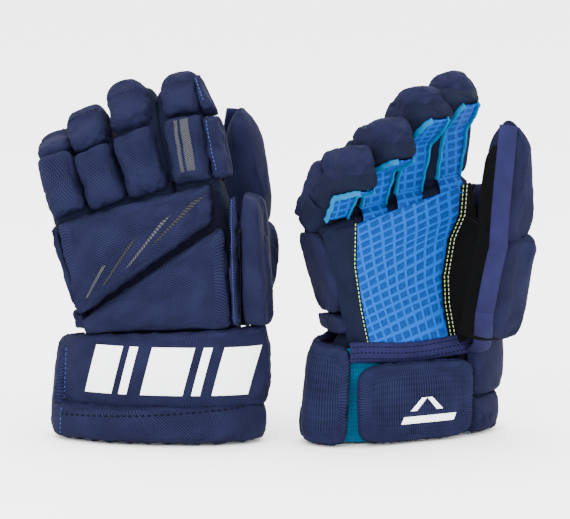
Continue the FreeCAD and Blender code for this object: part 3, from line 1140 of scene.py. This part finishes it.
def palm_pieces(side, place):
    hand = side + "_hand"
    left = [(-34, 66), (-41, 97), (-46, 128), hand_xz(-24, 86)]
    right = PALM_SEAM
    palm = strip_sheet(side + "_palm_cloth", place, left, right, palm_depth, (76, 100))
    dress(palm, "palm", hand, [side + "_palm"])
    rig.sheet(palm, (0.076, 0.104), "stretched")
    outer = [(-47, 68), (-55, 100), (-63, 128), hand_xz(-48, 86)]
    gusset = strip_sheet(
        side + "_gusset_cloth", place, outer, left,
        lambda u, v: between(9, 17.2, smooth(u * 1.4)), (14, 100), (12, 40),
    )
    dress(gusset, "sleeve", hand, [side + "_palm_gusset"])
    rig.sheet(gusset, (0.018, 0.1), "stretched")
    edge = [(44, 67), (55, 97), (56, 122), hand_xz(69, 86)]
    patch = strip_sheet(
        side + "_patch_cloth", place, right, edge, lambda u, v: 17.2, (24, 112), (14, 40)
    )
    dress(patch, "suede", hand, [side + "_palm_patch"])
    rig.sheet(patch, (0.026, 0.114), "stretched")
    palm_stitches(side, place, left, right)


def palm_stitches(side, place, left, right):
    """The curved double row beside the suede, and the row beside the knitted gusset."""
    rows = [
        ("green_row", right, 2.5, "green_thread"),
        ("white_row", right, 5.5, "white_thread"),
        ("gusset_row", left, -1.5, "green_thread"),
    ]
    for name, line, shift, thread in rows:
        spots = []
        for i in range(31):
            x, z = along_line(line, i / 30)
            spots.append(place.point(x + shift, 18.1, z))
        row = stitches(f"{side}_palm_{name}", spots, -place.axes[1], thread)
        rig.ride(row, side + "_hand")


def wrist_binding(side, place):
    """The stitched tape that binds the palm's bottom edge."""
    def point(u, v):
        x = between(-51, 47, v)
        z = 58 + 14 * u + 1.5 * math.cos(v * math.pi * 2)
        return place.point(x, 18 + 1.4 * (1 - (2 * u - 1) ** 2), z)

    tape = fabric(side + "_wrist_binding", point, (14, 98), (8, 50), thick=2.2)
    dress(tape, "tape", side + "_hand", [side + "_wrist_tape"])
    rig.sheet(tape, (0.014, 0.098), "stretched")
    for i, share in enumerate((0.2, 0.5, 0.8)):
        spots = [point(share, j / 24) + place.axes[1] * 1.2 * MM for j in range(25)]
        row = stitches(f"{side}_binding_stitches_{i}", spots, -place.axes[1], "dark_thread", 3.2)
        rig.ride(row, side + "_hand")


# ---- cuff ----

def cuff_pad(side, name, shape, sizes, node, material="pad", corner=9):
    return padding(
        f"{side}_{name}", shape, sizes, side + "_cuff", [f"{side}_{node}"], 0.75, material,
        corner=corner, edge=4, cuts=27,
    )


def cuff(side, place):
    """The wrapped cuff: its back panel, its bottom roll and the wraps beside the flap."""
    panel = cuff_pad(
        side, "cuff_cushion",
        oval_shape(place, CUFF_CENTRE, CUFF_RADII, CUFF_PAD, (-158, 0), (23.5, 26.5), (74, 85)),
        (180, 50, 11), "cuff_panel", corner=16,
    )
    roll = cuff_pad(
        side, "cuff_roll_cushion",
        oval_shape(place, ROLL_CENTRE, ROLL_RADII, 14, (-156, 0), ON_FLOOR, (26, 30)),
        (180, 26, 14), "cuff_roll", corner=12,
    )
    # each wrap's angles, heights of its bottom and top, oval, flare and cloth
    wraps = [
        ("little_finger_wrap", (205, 140), ON_FLOOR, (74, 70), CUFF_CENTRE, (75, 34), 7, "rib"),
        ("thumb_wrap", (57, 0), (28, 28), (74, 79), CUFF_CENTRE, (77, 33), 0, "pad"),
        ("thumb_wrap_roll", (52, 0), ON_FLOOR, (28, 28), ROLL_CENTRE, (79, 35), 0, "pad"),
    ]
    made = [panel, roll]
    for name, angles, bottom, top, centre, radii, flare, cloth in wraps:
        shape = oval_shape(place, centre, radii, CUFF_PAD, angles, bottom, top, 2, flare)
        item = cuff_pad(side, name, shape, (50, 60, 11), "cuff_side_pads", cloth, corner=8)
        made.append(item)
    return made


def cuff_backing(side, place):
    """The cloth that the cuff's pads are sewn to, under the lining, made dark with painted shade."""
    radii = [radius - CUFF_PAD + 0.4 for radius in CUFF_RADII]

    def point(u, v):
        return oval_point(place, CUFF_CENTRE, radii, between(-208, 62, u), between(4, 72, v))

    item = fabric(side + "_cuff_backing", point, (240, 68), (60, 10), thick=0.6)
    dress(item, "groove", side + "_cuff")


def cuff_lining(side, place):
    """The bright lining inside the cuff, open behind the flap."""
    def point(u, v):
        angle, height = between(118, 418, u), between(1.5, 68, v)
        return oval_point(place, CUFF_CENTRE, (65, 21), angle, height)

    item = fabric(side + "_cuff_lining", point, (260, 67), (60, 14), thick=1.2)
    rumple(item, 0.4, 14)
    dress(item, "lining", side + "_cuff", [side + "_cuff_liner"])


def wrist_sleeve(side, place):
    """The lining cloth that joins the hand to the cuff all round the wrist."""
    def point(u, v):
        low = oval_point(place, CUFF_CENTRE, (62, 19.5), 360 * u, 63)
        x, y = tube_point(49, -14.5, 13.5, u, 5)
        return low.lerp(place.point(8 + x, y, 86), smooth(v))

    item = fabric(side + "_wrist_sleeve", point, (200, 24), (64, 12), closed=True, thick=0.8)
    dress(item, "sleeve")
    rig.blend(item, side + "_cuff", side + "_hand", place.point(0, 0, 64), place.point(0, 0, 84))


def wrist_flap(side, place):
    """The ribbed flap that hangs from the wrist tape."""
    left, right = FLAP_SPAN
    corners = [(left + 1, 1.5), (right - 1, 1.5), (right, FLAP_TOP), (left, FLAP_TOP)]
    return padding(
        side + "_flap_cushion", quad_shape(place, corners, 30.5, 20.5, -2.0),
        (right - left, FLAP_TOP, 10), side + "_flap", [side + "_wrist_flap"], 0.7, "rib",
        corner=5.5, edge=3.4, cuts=27,
    )


# ---- prints and seams ----

def printed(name, item, body, place, corners, y, material, size):
    """Ink printed on a piece, between four (x, z) points: bottom left, bottom right, top
    right and top left. It comes onto the piece from the depth y, outside it."""
    tree = surface_of([item])
    way = place.axes[1] * math.copysign(1, -y)
    spots = [place.point(x, y, z) for x, z in corners]

    def point(u, v):
        low, high = between(spots[0], spots[1], u), between(spots[3], spots[2], u)
        return dropped(tree, between(low, high, v), way, 0.45)

    ink = fabric(name, point, size, (16, 32), thick=0)
    dress(ink, material, body)


def bar(start, width, low, high, lean=0):
    """The corners of a printed bar, whose top is moved aside by lean."""
    end = start + width
    return [(start, low), (end, low), (end + lean, high), (start + lean, high)]


def cuff_prints(side, place, panel):
    """A row of plain slanted bars across the cuff."""
    bars = [(-47, 20), (-22, 6), (-6, 30), (30, 6), (44, 24)]
    for i, (start, width) in enumerate(bars):
        printed(
            f"{side}_cuff_bar_{i}", panel, side + "_cuff", place,
            bar(start, width, 36, 70, 9), -60, "white_print", (width, 34),
        )


def back_prints(side, place, upper, base_pad, digit):
    """Tapered slanting streaks on the back and two stripes on the index finger."""
    streaks = [
        [(-46, 102), (-44, 103), (-30, 127), (-33, 126)],
        [(-34, 111), (-31, 113), (-8, 147), (-13, 143)],
        [(-17, 124), (-13, 127), (16, 163), (9, 158)],
        [(1, 140), (6, 144), (40, 177), (30, 172)],
    ]
    for i, corners in enumerate(streaks):
        ink = "faint_print" if i % 2 else "grey_print"
        printed(
            f"{side}_back_streak_{i}", upper, side + "_hand", place, corners, -50, ink, (5, 30)
        )
    for i, (start, width) in enumerate(((-6, 2.5), (-1.5, 6))):
        printed(
            f"{side}_index_stripe_{i}", base_pad, f"{side}_index_base", digit.base,
            bar(start, width, 4, digit.length + 2), -50, "grey_print", (width, 36),
        )


def flap_prints(side, place, flap):
    """A small chevron over a short bar."""
    for i, sign in enumerate((-1, 1)):
        corners = [(3 + sign * 13, 24), (3 + sign * 8, 24), (3, 33), (3 + sign * 4, 33)]
        printed(
            f"{side}_chevron_{i}", flap, side + "_flap", place, corners, 60, "white_print",
            (5, 9),
        )
    printed(
        f"{side}_flap_bar", flap, side + "_flap", place, bar(-17, 42, 15, 20, 2), 60,
        "white_print", (42, 5),
    )


SEAM_START = -60  # the depth, outside the back, that seams are dropped from
SEAM_REACH = 50 * MM  # a line that meets nothing this near has no stitches there


def seam(name, items, body, place, line, thread, **sizes):
    """A row of stitches dropped onto the back of some pieces, along (x, z) points."""
    tree = surface_of(items)
    way = place.axes[1]
    steps = 40
    spots = []
    for i in range(steps + 1):
        x, z = along_line(line, i / steps)
        spots.append(place.point(x, SEAM_START, z))
    met = [dropped(tree, spot, way, 0.1) for spot in spots]
    sewn = [hit for hit, spot in zip(met, spots) if MM < (hit - spot).length < SEAM_REACH]
    row = stitches(name, sewn, way, thread, **sizes)
    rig.ride(row, body)


def hood_seam(side, name, digit, hood):
    """The dashed seam across the middle of a fingertip's hood."""
    half = FINGERS[name]["width"] / 2 - 3
    height = FINGERS[name]["tip"] * 0.55
    line = [(-half, height), (half, height)]
    part = f"{side}_{name}"
    seam(part + "_hood_stitches", [hood], part + "_tip", digit.tip, line, "dark_thread")


def seams(side, place, strip, panel, roll):
    """The seams of the raised strip, along the cuff and up the end of its panel."""
    seam(
        side + "_strip_stitches", [strip], side + "_hand", place,
        [(59.5, 88), (57.5, 173)], "blue_thread", pitch=1.8, length=1.1, radius=0.3,
    )
    seam(
        side + "_cuff_stitches", [roll], side + "_cuff", place,
        [(-66, 19), (0, 22), (66, 27)], "dark_thread", pitch=4.5, length=2.6, radius=0.6,
    )
    seam(
        side + "_wrap_stitches", [panel, roll], side + "_cuff", place,
        [(-66, 4), (-62, 66)], "blue_thread", pitch=3.4, length=2.2,
    )


def build_glove(side):
    """One glove's pads and cloth. The prints and stitches come once the pads are stuffed."""
    place = glove_place(side)
    digits = {name: finger_digit(side, name) for name in FINGERS}
    thumb = thumb_digit(side)
    pads = {name: finger_pads(side, name, digit) for name, digit in digits.items()}
    for name, digit in digits.items():
        finger_sleeve(side, name, digit)
        knuckle_fold(side, name, digit)
        finger_palm(side, name, digit)
        if name != "pinky":
            palm_root(side, name, place, digit)
    pads["side_rolls"] = index_side_rolls(side, digits["index"])
    pads["thumb"] = thumb_pads(side, thumb)
    pads["back"] = backhand(side, place)
    pads["cuff"] = cuff(side, place)
    pads["flap"] = [wrist_flap(side, place)]
    thumb_sleeve(side, thumb)
    thumb_webs(side, place, thumb)
    thumb_tape(side, place, thumb)
    for make in (back_cloth, hand_sleeve, palm_pieces, wrist_binding):
        make(side, place)
    for make in (cuff_backing, cuff_lining, wrist_sleeve):
        make(side, place)
    return place, digits, pads


def decorate(side, place, digits, pads):
    """The prints and stitches on one glove's pads."""
    upper, _, strip = pads["back"][:3]
    panel, roll = pads["cuff"][:2]
    cuff_prints(side, place, panel)
    back_prints(side, place, upper, pads["index"][0], digits["index"])
    flap_prints(side, place, pads["flap"][0])
    index_side_stitches(side, digits["index"], pads["side_rolls"])
    for name, digit in digits.items():
        hood_seam(side, name, digit, pads[name][1])
    seams(side, place, strip, panel, roll)


gloves = {side: build_glove(side) for side in HANDED}
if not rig.quick():
    stuff([item for _, _, pads in gloves.values() for group in pads.values() for item in group])
for side, (place, digits, pads) in gloves.items():
    decorate(side, place, digits, pads)


# ---- studio ----

def make_camera():
    target = Vector((-0.0018, 0, 0.1264))
    distance = 2.4
    rise = math.radians(8.5)
    view_width = 0.402
    sensor = 36
    camera = in_scene("camera", bpy.data.cameras.new("camera"))
    camera.location = target + Vector((0, -math.cos(rise), math.sin(rise))) * distance
    camera.rotation_euler = (math.radians(90) - rise, 0, 0)
    camera.data.sensor_width = sensor
    camera.data.lens = sensor * distance / view_width
    camera.data.clip_end = 50
    bpy.context.scene.camera = camera


def make_light(name, place, aim, size, power):
    lamp = bpy.data.lights.new(name, "AREA")
    lamp.size = size
    lamp.energy = power
    item = in_scene(name, lamp)
    item.location = place
    item.rotation_euler = (Vector(aim) - Vector(place)).to_track_quat("-Z", "Y").to_euler()


def make_studio():
    bpy.ops.mesh.primitive_plane_add(size=30, location=(0, 0, -0.0005))
    floor = bpy.context.object
    floor.name = "floor"
    material, _, _, shader = nodes_of("floor_paper")
    shader.inputs["Base Color"].default_value = (0.95, 0.95, 0.95, 1)
    shader.inputs["Roughness"].default_value = 0.9
    floor.data.materials.append(material)
    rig.stage(floor)
    world = bpy.data.worlds.new("studio")
    bpy.context.scene.world = world
    world.use_nodes = True
    colour, strength = world.node_tree.nodes["Background"].inputs[:2]
    colour.default_value = (1, 1, 1, 1)
    strength.default_value = 4.4
    make_light("key", (-0.9, -2.2, 1.6), (0, 0, 0.12), 1.0, 60)
    make_light("fill", (1.2, -2.0, 0.9), (0, 0, 0.12), 1.4, 25)
    make_light("top", (0, 0.2, 1.8), (0, 0, 0.1), 1.0, 25)


make_camera()
make_studio()

visual_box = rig.bounds()
with open("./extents.json", "w") as out:
    sizes = {"cad": cad_box, "visual": visual_box}
    json.dump({k: [list(corner) for corner in box] for k, box in sizes.items()}, out)
